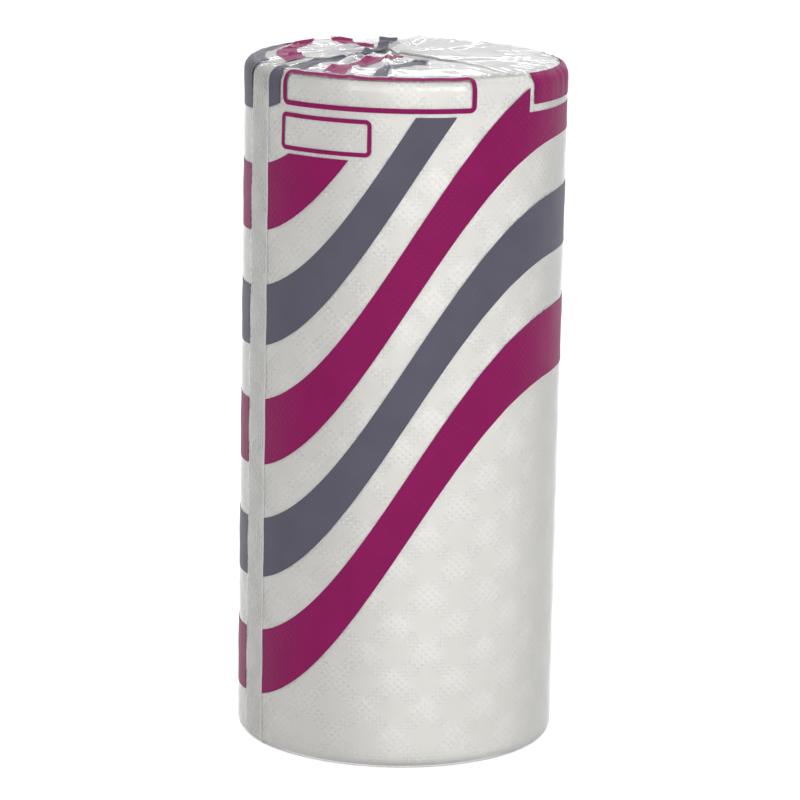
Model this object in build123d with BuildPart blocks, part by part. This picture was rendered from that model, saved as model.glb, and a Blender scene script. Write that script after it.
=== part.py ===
"""Kitchen towel roll in a printed clear film wrap.

The roll stands on its end. The origin is the middle of its base and +Z runs up its axis.
The front of the pack faces -Y. All lengths are in millimetres.
"""

import os
from math import ceil, cos, degrees, radians, sin, sqrt

from build123d import *

os.makedirs("parts", exist_ok=True)

# The pack, outside
pack_diameter = 107.0
pack_height = 229.0
film_thickness = 0.3  # the real film is about 0.04 mm
top_shoulder_radius = 3.8
foot_radius = 3.0
rim_facets = 2
hidden_rim_facets = 1

# The wound web and its core
core_diameter = 44.0
core_wall = 0.9
winding_clearance = 0.3
film_clearance = 0.3
head_clearance = 0.3
sheet_step = 0.35
tail_angle = 62.0
turn_pitch = 8.2
turn_groove_width = 0.9
turn_groove_depth = 0.6
turn_margin = 1.4

# The folded ends of the film
flap_thickness = 0.4
crease_width = 0.9
pucker_height = 0.3
pucker_length = 9.0
pucker_count = 11
base_crease_width = 0.7
base_crease_depth = 0.15

# The lap seam, left of the front
seam_angle = 207.0
seam_width = 13.0
seam_thickness = 0.2

# The folds, seen from above, as shares of the radius of the flat end
right_ear_shares = ((1.3, 0.1), (0.6, 0.13), (-0.04, 0.37), (-0.04, 0.2), (1.3, -0.6))
front_flap_shares = (
    (-1.3, -0.36),
    (-0.6, -0.12),
    (-0.24, 0.06),
    (-0.04, 0.24),
    (0.77, -0.18),
    (1.3, -0.5),
    (1.3, -1.3),
    (-1.3, -1.3),
)
left_ear_shares = (
    (-1.3, 0.52),
    (-0.7, 0.45),
    (-0.06, 0.77),
    (-0.2, 0.15),
    (-0.6, -0.02),
    (-1.3, -0.25),
)
crease_shares = (
    ((-0.02, 0.12), (0.4, -0.06), (0.82, -0.3)),
    ((-0.1, 0.0), (0.3, -0.16), (0.72, -0.42)),
    ((-0.26, -0.02), (-0.4, -0.2), (-0.5, -0.42)),
)
base_crease_shares = (
    ((-0.93, 0.18), (-0.3, -0.05), (0.35, 0.06), (0.93, -0.2)),
    ((-0.9, 0.3), (-0.3, -0.05), (-0.82, -0.45)),
    ((0.88, 0.38), (0.35, 0.06), (0.8, -0.52)),
)

# The print
ink_thickness = 0.15
ink_clearance = 0.3
wave_rise = 112.0
wave_lead_share = 1 / 3
lowest_band_height = 16.0
magenta_band_width = 22.0
grey_band_width = 20.0
band_gap = 18.0
label_line_width = 1.6
label_corner = 1.6
label_drop = 1.0
wide_label_length = 64.0
wide_label_height = 12.0
wide_label_offset = -8.3
small_label_length = 30.0
small_label_height = 10.6
small_label_offset = -25.5
label_spacing = 2.4
tab_height = 8.5
tab_start_angle = 321.0
tab_sweep = 58.0

# One length that every cut runs past its solid by
overrun = 5.0

# Sizes that follow from the ones above
film_radius = pack_diameter / 2 - ink_thickness - ink_clearance
film_bore_radius = film_radius - film_thickness
film_top = pack_height - 3 * flap_thickness
web_radius = film_bore_radius - film_clearance
core_radius = core_diameter / 2
web_bore_radius = core_radius + winding_clearance
web_foot = film_thickness
web_top = film_top - film_thickness - head_clearance
flat_end_radius = film_radius - top_shoulder_radius
ink_bore_radius = film_radius + ink_clearance
ink_radius = ink_bore_radius + ink_thickness
print_foot = foot_radius
print_top = film_top - top_shoulder_radius
seam_sweep = degrees(seam_width / film_radius)
tab_margin_sweep = degrees(label_spacing / film_radius)
band_period = magenta_band_width + grey_band_width + 2 * band_gap
band_count = ceil((print_top - lowest_band_height) / band_period)
wide_label_top = print_top - label_drop
small_label_top = wide_label_top - wide_label_height - label_spacing
label_rows = (
    (wide_label_length, wide_label_height, wide_label_offset, wide_label_top),
    (small_label_length, small_label_height, small_label_offset, small_label_top),
)


def polar(radius, angle):
    """A point at a radius and an angle in degrees from +X."""
    return (radius * cos(radians(angle)), radius * sin(radians(angle)))


def sector(start_angle, sweep, mode):
    """A wedge from the axis, wide enough to cut through the pack's wall."""
    reach = 2 * film_radius
    middle_angle = start_angle + sweep / 2
    return Polygon(
        (0, 0),
        polar(reach, start_angle),
        polar(reach, middle_angle),
        polar(reach, start_angle + sweep),
        align=None,
        mode=mode,
    )


def round_ended_profile(radius, foot, head, foot_round, head_round, facets):
    """Half the section of an upright cylinder, whose rims are rounded in a few flats."""
    points = [(0, foot)]
    for step in range(facets + 1):
        out, up = polar(foot_round, 90 * step / facets - 90)
        points.append((radius - foot_round + out, foot + foot_round + up))
    for step in range(facets + 1):
        out, up = polar(head_round, 90 * step / facets)
        points.append((radius - head_round + out, head - head_round + up))
    points.append((0, head))
    return Polygon(*points, align=None)


# The core: a tube of board, cut square at both ends
with BuildPart() as core_tube:
    with BuildSketch(Plane.XY.offset(web_foot)):
        Circle(core_radius)
        Circle(core_radius - core_wall, mode=Mode.SUBTRACT)
    extrude(amount=web_top - web_foot)
core_tube.part.label = "core_tube"


# The web: a tight spiral, whose turns show as fine lines on both ends
turn_start = web_bore_radius + turn_margin
turn_count = int((web_radius - turn_margin - turn_start - turn_pitch / 2) / turn_pitch)

with BuildPart() as paper_roll:
    # One half of the outline is centred off the axis, so the last turn ends in a step as high as one sheet
    with BuildSketch(Plane.XY.offset(web_foot)):
        with BuildLine():
            step_foot = web_radius - sheet_step
            near_side = ThreePointArc((web_radius, 0), (0, web_radius), (-web_radius, 0))
            far_middle = (step_foot - web_radius) / 2
            far_radius = (step_foot + web_radius) / 2
            far_side = ThreePointArc(near_side @ 1, (far_middle, -far_radius), (step_foot, 0))
            Line(far_side @ 1, near_side @ 0)
        make_face()
        Circle(web_bore_radius, mode=Mode.SUBTRACT)
    extrude(amount=web_top - web_foot)

    # The film has pressed the outer rims round
    with BuildSketch(Plane.XZ):
        round_ended_profile(
            web_radius,
            web_foot,
            web_top,
            foot_radius - film_thickness,
            top_shoulder_radius - film_thickness,
            hidden_rim_facets,
        )
    revolve(axis=Axis.Z, mode=Mode.INTERSECT)

    # Each turn line is two half turns about two centres half a pitch apart
    for end_height, into in ((web_top, -1), (web_foot, 1)):
        for centre, side, first in ((0, 1, turn_start), (turn_pitch / 2, -1, turn_start + turn_pitch / 2)):
            with BuildSketch(Plane.XZ):
                for turn in range(turn_count):
                    line_radius = first + turn * turn_pitch
                    middle = centre + side * line_radius
                    Polygon(
                        (middle - turn_groove_width / 2, end_height - into * overrun),
                        (middle - turn_groove_width / 2, end_height),
                        (middle, end_height + into * turn_groove_depth),
                        (middle + turn_groove_width / 2, end_height),
                        (middle + turn_groove_width / 2, end_height - into * overrun),
                        align=None,
                    )
            half_axis = Axis((centre, 0, 0), (0, 0, 1))
            revolve(axis=half_axis, revolution_arc=180, mode=Mode.SUBTRACT)
paper_roll.part = paper_roll.part.rotate(Axis.Z, tail_angle)
paper_roll.part.label = "paper_roll"


def scaled(shares, size):
    """Points given as shares of a size."""
    return [(size * across, size * up) for across, up in shares]


# The film: a closed tube round the web, with a lap seam up its side and both ends folded shut
with BuildPart() as film_wrap:
    # The outside, with rounded rims
    with BuildSketch(Plane.XZ):
        round_ended_profile(film_radius, 0, film_top, foot_radius, top_shoulder_radius, rim_facets)
    revolve(axis=Axis.Z)

    # The lap seam: a second layer, from rim to rim
    with BuildSketch(Plane.XY.offset(print_foot)):
        Circle(film_radius + seam_thickness)
        sector(seam_angle - seam_sweep / 2, seam_sweep, mode=Mode.INTERSECT)
        Circle(film_radius - film_thickness / 2, mode=Mode.SUBTRACT)
    extrude(amount=print_top - print_foot)

    # The folded flaps on the top, each one lying on the last
    for level, shares in enumerate((right_ear_shares, front_flap_shares, left_ear_shares), 1):
        with BuildSketch(Plane.XY.offset(film_top - film_thickness / 2)):
            Polygon(*scaled(shares, flat_end_radius), align=None)
            Circle(flat_end_radius, mode=Mode.INTERSECT)
        extrude(amount=film_thickness / 2 + level * flap_thickness)

    # The creases that the folding left in the front flap
    with BuildSketch(Plane.XY.offset(film_top)):
        for shares in crease_shares:
            with BuildLine():
                Polyline(*scaled(shares, flat_end_radius))
            trace(line_width=crease_width)
    extrude(amount=3 * flap_thickness)

    # The gathers inside the top rim: short ridges, each a square bar lying on its edge
    with Locations((0, 0, film_top)):
        with PolarLocations(flat_end_radius - pucker_length / 2, pucker_count):
            Box(pucker_length, pucker_height * sqrt(2), pucker_height * sqrt(2), rotation=(45, 0, 0))

    # The roll's weight has pressed the folds of the base flat, and only their edges show
    with BuildSketch():
        for shares in base_crease_shares:
            with BuildLine():
                Polyline(*scaled(shares, film_radius - foot_radius))
            trace(line_width=base_crease_width)
    extrude(amount=base_crease_depth, mode=Mode.SUBTRACT)

    # The space inside, closed on all sides
    with BuildSketch(Plane.XZ):
        round_ended_profile(
            film_bore_radius,
            film_thickness,
            film_top - film_thickness,
            foot_radius - film_thickness,
            top_shoulder_radius - film_thickness,
            hidden_rim_facets,
        )
    revolve(axis=Axis.Z, mode=Mode.SUBTRACT)
film_wrap.part.label = "film_wrap"


def wave(height):
    """The line that every band follows in front view, given by its height at the left side."""
    reach = ink_radius + overrun
    lead = film_radius * wave_lead_share
    with BuildLine() as line:
        Line((-reach, height), (-film_radius, height))
        rise = Bezier(
            (-film_radius, height),
            (-lead, height),
            (lead, height + wave_rise),
            (film_radius, height + wave_rise),
        )
        Line(rise @ 1, (reach, height + wave_rise))
    return line.line


def front_patch(length, height, offset, top):
    """A patch of ink on the front of the wall, whose front view is a rectangle with its corners cut off."""
    with BuildPart() as patch:
        with BuildSketch(Plane.XY.offset(top - height)):
            Circle(ink_radius)
            Circle(ink_bore_radius, mode=Mode.SUBTRACT)
        extrude(amount=height)
        with BuildSketch(Plane.XZ):
            with Locations((offset, top - height / 2)):
                outline = Rectangle(length, height)
            chamfer(outline.vertices(), label_corner)
        extrude(amount=ink_radius + overrun, mode=Mode.INTERSECT)
    return patch.part


def side_patch(start_angle, sweep, height):
    """A patch of ink between two angles, hanging from the top of the print."""
    with BuildPart() as patch:
        with BuildSketch(Plane.XY.offset(print_top - height)):
            Circle(ink_radius)
            sector(start_angle, sweep, mode=Mode.INTERSECT)
            Circle(ink_bore_radius, mode=Mode.SUBTRACT)
        extrude(amount=height)
    return patch.part


def printed_bands(first_height, band_width):
    """Parallel bands of one ink, a band period apart, with the seam and the label places left bare."""
    reach = ink_radius + overrun
    far_below = -wave_rise - overrun
    far_above = pack_height + band_period
    with BuildPart() as bands:
        with BuildSketch(Plane.XY.offset(print_foot)):
            Circle(ink_radius)
            Circle(ink_bore_radius, mode=Mode.SUBTRACT)
            sector(seam_angle - seam_sweep / 2, seam_sweep, mode=Mode.SUBTRACT)
        extrude(amount=print_top - print_foot)

        # What lies between the bands comes away, seen from the front and right through the tube
        clear_from = far_below
        for band in range(band_count + 1):
            last = band == band_count
            clear_to = far_above if last else first_height + band * band_period
            with BuildSketch(Plane.XZ):
                with BuildLine():
                    add(wave(clear_from))
                    add(wave(clear_to))
                    Line((-reach, clear_from), (-reach, clear_to))
                    Line((reach, clear_from + wave_rise), (reach, clear_to + wave_rise))
                make_face()
            extrude(amount=reach, both=True, mode=Mode.SUBTRACT)
            clear_from = clear_to + band_width

        for row in label_rows:
            add(front_patch(*row), mode=Mode.SUBTRACT)
        tab_room = side_patch(
            tab_start_angle - tab_margin_sweep,
            tab_sweep + 2 * tab_margin_sweep,
            tab_height + label_spacing,
        )
        add(tab_room, mode=Mode.SUBTRACT)
    return bands.part


def label_field(length, height, offset, top):
    """The bare inside of one label frame."""
    border = 2 * label_line_width
    return front_patch(length - border, height - border, offset, top - label_line_width)


# The magenta ink: the wide bands, the label frames and the tab beside them
with BuildPart() as magenta_print:
    add(printed_bands(lowest_band_height, magenta_band_width))
    for row in label_rows:
        add(front_patch(*row))
        add(label_field(*row), mode=Mode.SUBTRACT)
    add(side_patch(tab_start_angle, tab_sweep, tab_height))
magenta_print.part.label = "magenta_print"

# The grey ink: the narrow bands
with BuildPart() as grey_print:
    add(printed_bands(lowest_band_height + magenta_band_width + band_gap, grey_band_width))
grey_print.part.label = "grey_print"

for piece in (core_tube, paper_roll, film_wrap, magenta_print, grey_print):
    export_step(piece.part, f"parts/{piece.part.label}.step")
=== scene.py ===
# %% [markdown]
# # Kitchen towel roll in a printed clear film
#
# The real thing is simple to name and hard to fake: a roll of embossed tissue, wound on a board core, and
# a tube of clear film pulled tight round it. The film is printed with bands of magenta and slate grey,
# closed by a lap seam up the side, and folded shut at both ends. This lesson builds each of those layers
# as its own piece.
#
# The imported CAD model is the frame. Everything stands in its coordinates: metres, +Z up the roll, front
# towards -Y.

import random
from math import asin, atan2, ceil, cos, hypot, pi, radians, sin

import bpy
from mathutils import Matrix, Vector, noise
from mathutils.bvhtree import BVHTree
from mathutils.geometry import delaunay_2d_cdt


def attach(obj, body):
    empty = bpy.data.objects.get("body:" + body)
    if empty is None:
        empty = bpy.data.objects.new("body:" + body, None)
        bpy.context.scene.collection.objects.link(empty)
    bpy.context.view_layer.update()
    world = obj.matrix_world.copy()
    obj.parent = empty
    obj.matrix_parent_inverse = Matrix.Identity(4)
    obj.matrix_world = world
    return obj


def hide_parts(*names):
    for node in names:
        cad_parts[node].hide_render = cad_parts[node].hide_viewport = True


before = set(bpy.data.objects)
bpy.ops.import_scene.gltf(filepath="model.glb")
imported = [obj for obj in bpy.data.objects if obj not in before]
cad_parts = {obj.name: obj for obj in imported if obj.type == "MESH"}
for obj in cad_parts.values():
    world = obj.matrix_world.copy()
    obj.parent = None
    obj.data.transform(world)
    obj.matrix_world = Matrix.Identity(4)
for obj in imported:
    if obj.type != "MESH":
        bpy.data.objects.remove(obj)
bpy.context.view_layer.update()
MM = 0.001

# %% [markdown]
# ## Camera
#
# Product pictures of tall packs are taken with a long lens from a little above, so that the sides stay
# nearly parallel. The camera stands twelve pack widths in front, looks 12.5 degrees down and is turned
# about one degree in its own axis, which gives the pack the slight lean that it has in the picture. A
# shift lens would keep the sides quite parallel, but it would spoil every other view, so there is none.

# %% Camera
PACK_DIAMETER = 107 * MM
IMAGE_SIDE = 800
FOCAL_PIXELS = 3938
SENSOR_WIDTH = 36
CAMERA_BACK = 12 * PACK_DIAMETER
CAMERA_UP = 3.71 * PACK_DIAMETER
LOOK_DOWN = 12.5
LEAN = 1.13
camera_data = bpy.data.cameras.new("camera")
camera_data.sensor_width = SENSOR_WIDTH
camera_data.lens = FOCAL_PIXELS / IMAGE_SIDE * SENSOR_WIDTH
camera = bpy.data.objects.new("camera", camera_data)
camera.matrix_world = (
    Matrix.Translation((0, -CAMERA_BACK, CAMERA_UP))
    @ Matrix.Rotation(radians(90 - LOOK_DOWN), 4, "X")
    @ Matrix.Rotation(radians(LEAN), 4, "Z")
)
bpy.context.collection.objects.link(camera)
bpy.context.scene.camera = camera
print("lens in mm:", round(camera_data.lens, 1))

# %% [markdown]
# ## Helpers for colour and nodes
#
# Colours are written as sRGB hex, as a picker shows them, and turned to the linear values that the shader
# works in. One function adds a node, sets it and links it. That keeps every material below readable from
# top to bottom.


# %% Helpers for colour and nodes
def linear(hex_colour):
    """The linear RGBA of an sRGB colour such as '#8b1a60'."""
    channels = [int(hex_colour[place : place + 2], 16) / 255 for place in (1, 3, 5)]
    return (*[c / 12.92 if c <= 0.04045 else ((c + 0.055) / 1.055) ** 2.4 for c in channels], 1)


def add_node(tree, kind, settings=None, **inputs):
    """Adds a node, sets its properties, and sets or links its inputs. Input names use _ for a blank."""
    node = tree.nodes.new(kind)
    for name, value in (settings or {}).items():
        setattr(node, name, value)
    for name, value in inputs.items():
        socket = node.inputs[int(name[1:])] if name[1:].isdigit() else node.inputs[name.replace("_", " ")]
        if isinstance(value, bpy.types.NodeSocket):
            tree.links.new(value, socket)
        else:
            socket.default_value = value
    return node


def new_material(name):
    """An empty node material and its tree."""
    material = bpy.data.materials.new(name)
    material.use_nodes = True
    material.node_tree.nodes.clear()
    return material, material.node_tree


# %% [markdown]
# ## Light
#
# The pack is lit flat and soft, as for a catalogue. The front is even, the left side falls off a little,
# and the folds on top catch small hard glints. So there are two large soft lamps in front, a stronger one
# on the right and a weaker one on the left, a narrow one behind and one over the top for the glints, and
# an even grey world that fills the shadows. The world is grey only as light. A ray that comes from the
# camera, or from a mirror or glass, meets white there, so the background is white and the gloss of the
# film shows it too.

# %% Light
scene = bpy.context.scene
scene.view_settings.view_transform = "Standard"
WORLD_AS_LIGHT = 0.55


def seen_as_backdrop(tree):
    """A socket that is 1 for camera, mirror and glass rays, and 0 for the light that falls on things."""
    rays = add_node(tree, "ShaderNodeLightPath").outputs
    seen = rays["Is Camera Ray"]
    for kind in ("Is Glossy Ray", "Is Transmission Ray"):
        seen = add_node(tree, "ShaderNodeMath", {"operation": "MAXIMUM"}, _0=seen, _1=rays[kind]).outputs[0]
    return seen


world = bpy.data.worlds.new("studio")
world.use_nodes = True
world_tree = world.node_tree
world_tree.nodes.clear()
level = add_node(
    world_tree, "ShaderNodeMapRange", Value=seen_as_backdrop(world_tree), To_Min=WORLD_AS_LIGHT, To_Max=1.0
)
sky = add_node(world_tree, "ShaderNodeBackground", Color=(1, 1, 1, 1), Strength=level.outputs[0])
add_node(world_tree, "ShaderNodeOutputWorld", Surface=sky.outputs[0])
scene.world = world


def add_lamp(name, place, aim, size, power):
    """An area lamp of that width and height, in metres, that looks at a point. Power is in watts."""
    data = bpy.data.lights.new(name, "AREA")
    data.shape = "RECTANGLE"
    data.size, data.size_y = size
    data.energy = power
    lamp = bpy.data.objects.new(name, data)
    lamp.location = place
    lamp.rotation_euler = (Vector(aim) - Vector(place)).to_track_quat("-Z", "Y").to_euler()
    bpy.context.collection.objects.link(lamp)


WALL_AIM = (0, 0, 0.1)
TOP_AIM = (0, 0, 0.22)
add_lamp("key_lamp", (0.68, -1.45, 0.9), WALL_AIM, (0.8, 0.8), 12.4)
add_lamp("left_lamp", (-0.7, -1.5, 0.7), WALL_AIM, (0.8, 0.8), 4.6)
add_lamp("back_lamp", (0.1, 1.2, 0.7), TOP_AIM, (1.4, 0.06), 1.5)
add_lamp("top_lamp", (0, 0.2, 1.4), TOP_AIM, (1.0, 0.4), 6)

# %% [markdown]
# ## Floor
#
# The roll stands on a white table that runs out of the picture. A plain white floor would come out grey
# wherever the lamps don't reach. So two thirds of what the camera sees of it is an even glow, which stays
# white everywhere, and the last third is matt paint, which keeps the soft shadow at the foot. As light it
# is matt only.

# %% Floor
FLOOR_SIZE = 16
GLOW_SHARE = 0.64
GLOW_STRENGTH = 1.4
bpy.ops.object.select_all(action="DESELECT")
bpy.ops.mesh.primitive_plane_add(size=FLOOR_SIZE)
floor_plane = bpy.context.object
floor_plane.name = "floor"
paint, tree = new_material("white_studio_floor")
matt = add_node(tree, "ShaderNodeBsdfDiffuse", Color=linear("#e9e9e9"))
glow = add_node(tree, "ShaderNodeEmission", Color=(1, 1, 1, 1), Strength=GLOW_STRENGTH)
share = add_node(tree, "ShaderNodeMath", {"operation": "MULTIPLY"}, _0=seen_as_backdrop(tree), _1=GLOW_SHARE)
white = add_node(tree, "ShaderNodeMixShader", Fac=share.outputs[0], _1=matt.outputs[0], _2=glow.outputs[0])
add_node(tree, "ShaderNodeOutputMaterial", Surface=white.outputs[0])
floor_plane.data.materials.append(paint)
print("floor in metres:", tuple(floor_plane.dimensions.xy))

# %% [markdown]
# ## From a flat sheet to the roll
#
# Film, print and tissue are all flat webs that a machine wraps round the core. The lesson does the same.
# Every piece starts as a flat grid in which X runs round the roll (0 is the middle of the front) and Y
# runs up it. All cutting is done while it lies flat, because a straight cut on a flat sheet is one
# bisect, and on a rolled one it is not. Then one function rolls it: up the wall Y is simply the height,
# and past the rims it follows the rounded foot and shoulder on to the two ends. The flat places stay on
# the piece as its UV map, in metres, so patterns can be drawn at their real size.

# %% From a flat sheet to the roll
FILM_RADIUS = 52.85 * MM
FILM_TOP = 227.3 * MM
SHOULDER = 4.2 * MM
FOOT = 3.0 * MM
FLAT_TOP_RADIUS = FILM_RADIUS - SHOULDER
SHOULDER_START = FILM_TOP - SHOULDER
ROUND = 2 * pi * FILM_RADIUS
TOP_CENTRE = SHOULDER_START + SHOULDER * pi / 2 + FLAT_TOP_RADIUS
BASE_CENTRE = FOOT - FOOT * pi / 2 - (FILM_RADIUS - FOOT)


def section(up):
    """(radius, height, outward radial part, outward vertical part) at a distance up the sheet."""
    if up > SHOULDER_START:
        turn = (up - SHOULDER_START) / SHOULDER
        if turn < pi / 2:
            out, rise = cos(turn), sin(turn)
            return FLAT_TOP_RADIUS + SHOULDER * out, SHOULDER_START + SHOULDER * rise, out, rise
        return max(0, TOP_CENTRE - up), FILM_TOP, 0, 1
    if up < FOOT:
        turn = (FOOT - up) / FOOT
        if turn < pi / 2:
            out, rise = cos(turn), -sin(turn)
            return FILM_RADIUS - FOOT + FOOT * out, FOOT + FOOT * rise, out, rise
        return max(0, up - BASE_CENTRE), 0, 0, -1
    return FILM_RADIUS, up, 1, 0


def roll_up(along, up, lift):
    """The place on the roll of a point on the flat sheet."""
    radius, height, out, rise = section(up)
    radius += lift * out
    height += lift * rise
    angle = along / FILM_RADIUS
    return Vector((radius * sin(angle), -radius * cos(angle), height))


def front_x(along):
    """How far right of the middle a point of the wall is in front view."""
    return FILM_RADIUS * sin(along / FILM_RADIUS)


def along_at(x):
    """The place along the sheet of a point of the front that is x right of the middle."""
    return FILM_RADIUS * asin(x / FILM_RADIUS)


def flat_sheet(name, left, right, bottom, top, cell):
    """A flat grid between those sides, of cells about that size."""
    columns = ceil((right - left) / cell)
    rows = ceil((top - bottom) / cell)
    bpy.ops.object.select_all(action="DESELECT")
    bpy.ops.mesh.primitive_grid_add(x_subdivisions=columns, y_subdivisions=rows, size=1)
    piece = bpy.context.object
    piece.name = name
    piece.scale = (right - left, top - bottom, 1)
    piece.location = ((left + right) / 2, (bottom + top) / 2, 0)
    bpy.ops.object.transform_apply()
    return piece


def cut_line(piece, place, direction):
    """Cuts a flat sheet along a straight line, without taking anything away."""
    bpy.context.view_layer.objects.active = piece
    bpy.ops.object.mode_set(mode="EDIT")
    bpy.ops.mesh.select_all(action="SELECT")
    bpy.ops.mesh.bisect(plane_co=(*place, 0), plane_no=(-direction[1], direction[0], 0), threshold=1e-7)
    bpy.ops.object.mode_set(mode="OBJECT")


def cut_away(piece, goes):
    """Deletes the faces whose middle is where goes(x, y) says."""
    bpy.ops.object.mode_set(mode="EDIT")
    bpy.ops.mesh.select_all(action="DESELECT")
    bpy.ops.object.mode_set(mode="OBJECT")
    for face in piece.data.polygons:
        face.select = goes(face.center.x, face.center.y)
    bpy.ops.object.mode_set(mode="EDIT")
    bpy.ops.mesh.select_mode(type="FACE")
    bpy.ops.mesh.delete(type="FACE")
    bpy.ops.mesh.select_mode(type="VERT")
    bpy.ops.object.mode_set(mode="OBJECT")


def wrap(piece, place_of):
    """Keeps the flat places as a UV map in metres and moves every point to place_of(x, y, z)."""
    mesh = piece.data
    while mesh.uv_layers:
        mesh.uv_layers.remove(mesh.uv_layers[0])
    flat = mesh.uv_layers.new(name="flat_sheet")
    for loop in mesh.loops:
        flat.data[loop.index].uv = mesh.vertices[loop.vertex_index].co.xy
    for vertex in mesh.vertices:
        vertex.co = place_of(*vertex.co)
    mesh.update()


def line_distance(x, y, line):
    """The distance of a point from a line of straight runs."""
    nearest = 1
    for (ax, ay), (bx, by) in zip(line, line[1:]):
        run = (bx - ax) ** 2 + (by - ay) ** 2
        share = min(1, max(0, ((x - ax) * (bx - ax) + (y - ay) * (by - ay)) / run))
        nearest = min(nearest, hypot(x - ax - share * (bx - ax), y - ay - share * (by - ay)))
    return nearest


def mark_crease_highlights(piece, lines, width):
    """Notes on every point how near a crease it is, from 0 at that width to 1 on the line. The film's shader
    paints these places whiter, as a painted highlight.
    """
    marks = piece.data.attributes.get("crease") or piece.data.attributes.new("crease", "FLOAT", "POINT")
    for vertex, mark in zip(piece.data.vertices, marks.data):
        nearest = min(line_distance(vertex.co.x, vertex.co.y, line) for line in lines)
        mark.value = max(mark.value, 1 - nearest / width)


def close_up(piece, gap=0.01 * MM):
    """Merges points that have met, turns the faces outwards and shades them smooth."""
    bpy.ops.object.select_all(action="DESELECT")
    piece.select_set(True)
    bpy.context.view_layer.objects.active = piece
    bpy.ops.object.mode_set(mode="EDIT")
    bpy.ops.mesh.select_all(action="SELECT")
    bpy.ops.mesh.remove_doubles(threshold=gap)
    bpy.ops.mesh.normals_make_consistent(inside=False)
    bpy.ops.object.mode_set(mode="OBJECT")
    bpy.ops.object.shade_smooth()


# %% [markdown]
# ## The emboss
#
# Kitchen towel is embossed so that its plies hold together and soak up more: soft diamonds, with three
# rows of small dots pressed between them. Sixteen diamonds go round this roll, so the pattern meets
# itself. The diamonds are real relief. They lift the tissue by a fifth of a millimetre, and the tight
# film over it by about half of that. The dots are far smaller than a cell of the mesh, so they wait for
# the shaders.

# %% The emboss
DIAMONDS_ROUND = 16
DIAMOND_WIDTH = ROUND / DIAMONDS_ROUND
DIAMOND_HEIGHT = 19.4 * MM
DOTS_A_SIDE = 8
VALLEY_SHARE = 0.1
FACE_SHARE = 0.38
TISSUE_RELIEF = 0.2 * MM
FILM_RELIEF = 0.12 * MM


def smooth(low, high, value):
    """0 up to low, 1 from high, and an even slope between them."""
    share = min(1, max(0, (value - low) / (high - low)))
    return share * share * (3 - 2 * share)


def pillow(along, up):
    """How high the emboss stands, from 0 on the rows of dots to 1 in the middle of a diamond."""
    first = along / DIAMOND_WIDTH + up / DIAMOND_HEIGHT
    second = along / DIAMOND_WIDTH - up / DIAMOND_HEIGHT
    near = min(abs(first - round(first)), abs(second - round(second)))
    on_wall = smooth(4 * MM, 12 * MM, up) * (1 - smooth(212 * MM, 222 * MM, up))
    return on_wall * smooth(VALLEY_SHARE, FACE_SHARE, near)


print("diamond in mm:", round(DIAMOND_WIDTH / MM, 1), "by", round(DIAMOND_HEIGHT / MM, 1))


# %% [markdown]
# ## The tissue
#
# The tissue is one wound web. Its outside is the last turn, with the emboss, and both ends show the edges
# of the turns as a fine spiral. Winding the whole web would take millions of faces that nobody sees. So a
# flat sheet is rolled along a path that crosses the base, goes up the wall and crosses the top, and the
# relief is put on as it is rolled. The real turns are about a third of a millimetre thick. They are
# drawn 1.6 mm apart, which is coarser, and about as fine as this mesh can take.

# %% The tissue
BORE_RADIUS = 22.3 * MM
TISSUE_RADIUS = 52.6 * MM
TISSUE_FOOT = 0.4 * MM
TISSUE_TOP = 226.6 * MM
TURN_PITCH = 1.6 * MM
TURN_DEPTH = 0.22 * MM
END_WAVE = 9 * MM
END_UNEVENNESS = 0.12 * MM
RIM = 3.7 * MM
TURN_RUN = TISSUE_RADIUS - RIM - BORE_RADIUS
RIM_RUN = RIM * pi / 2
WALL_RUN = TISSUE_TOP - TISSUE_FOOT - 2 * RIM
TISSUE_PATH = [TURN_RUN, RIM_RUN, WALL_RUN, RIM_RUN, TURN_RUN, TISSUE_TOP - TISSUE_FOOT]


def tissue_section(distance):
    """(radius, height, outward radial part, outward vertical part) along the path base, wall, top, bore."""
    run = 0
    while run < 5 and distance > TISSUE_PATH[run]:
        distance -= TISSUE_PATH[run]
        run += 1
    turn = distance / RIM
    if run == 0:
        return BORE_RADIUS + distance, TISSUE_FOOT, 0, -1
    if run == 1:
        out, rise = sin(turn), -cos(turn)
        return TISSUE_RADIUS - RIM + RIM * out, TISSUE_FOOT + RIM + RIM * rise, out, rise
    if run == 2:
        return TISSUE_RADIUS, TISSUE_FOOT + RIM + distance, 1, 0
    if run == 3:
        out, rise = cos(turn), sin(turn)
        return TISSUE_RADIUS - RIM + RIM * out, TISSUE_TOP - RIM + RIM * rise, out, rise
    if run == 4:
        return TISSUE_RADIUS - RIM - distance, TISSUE_TOP, 0, 1
    return BORE_RADIUS, TISSUE_TOP - distance, -1, 0


def tissue_place(along, distance, _):
    """The place of a point of the tissue's sheet, with the emboss or the turns on it."""
    radius, height, out, rise = tissue_section(distance)
    if abs(rise) > 0.99:
        angle = along / FILM_RADIUS
        turn_share = (radius / TURN_PITCH - along / ROUND) % 1
        unevenness = noise.noise(Vector((radius * cos(angle), radius * sin(angle), height)) / END_WAVE)
        lift = -TURN_DEPTH * abs(2 * turn_share - 1) + END_UNEVENNESS * unevenness
    elif out > 0:
        lift = TISSUE_RELIEF * pillow(along, height)
    else:
        lift = 0
    angle = along / FILM_RADIUS
    radius += lift * out
    return Vector((radius * sin(angle), -radius * cos(angle), height + lift * rise))


TISSUE_CELL = 1.25 * MM
tissue = flat_sheet("tissue_roll", -ROUND / 2, ROUND / 2, 0, sum(TISSUE_PATH[:5]), TISSUE_CELL)
wrap(tissue, tissue_place)
close_up(tissue)

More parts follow.
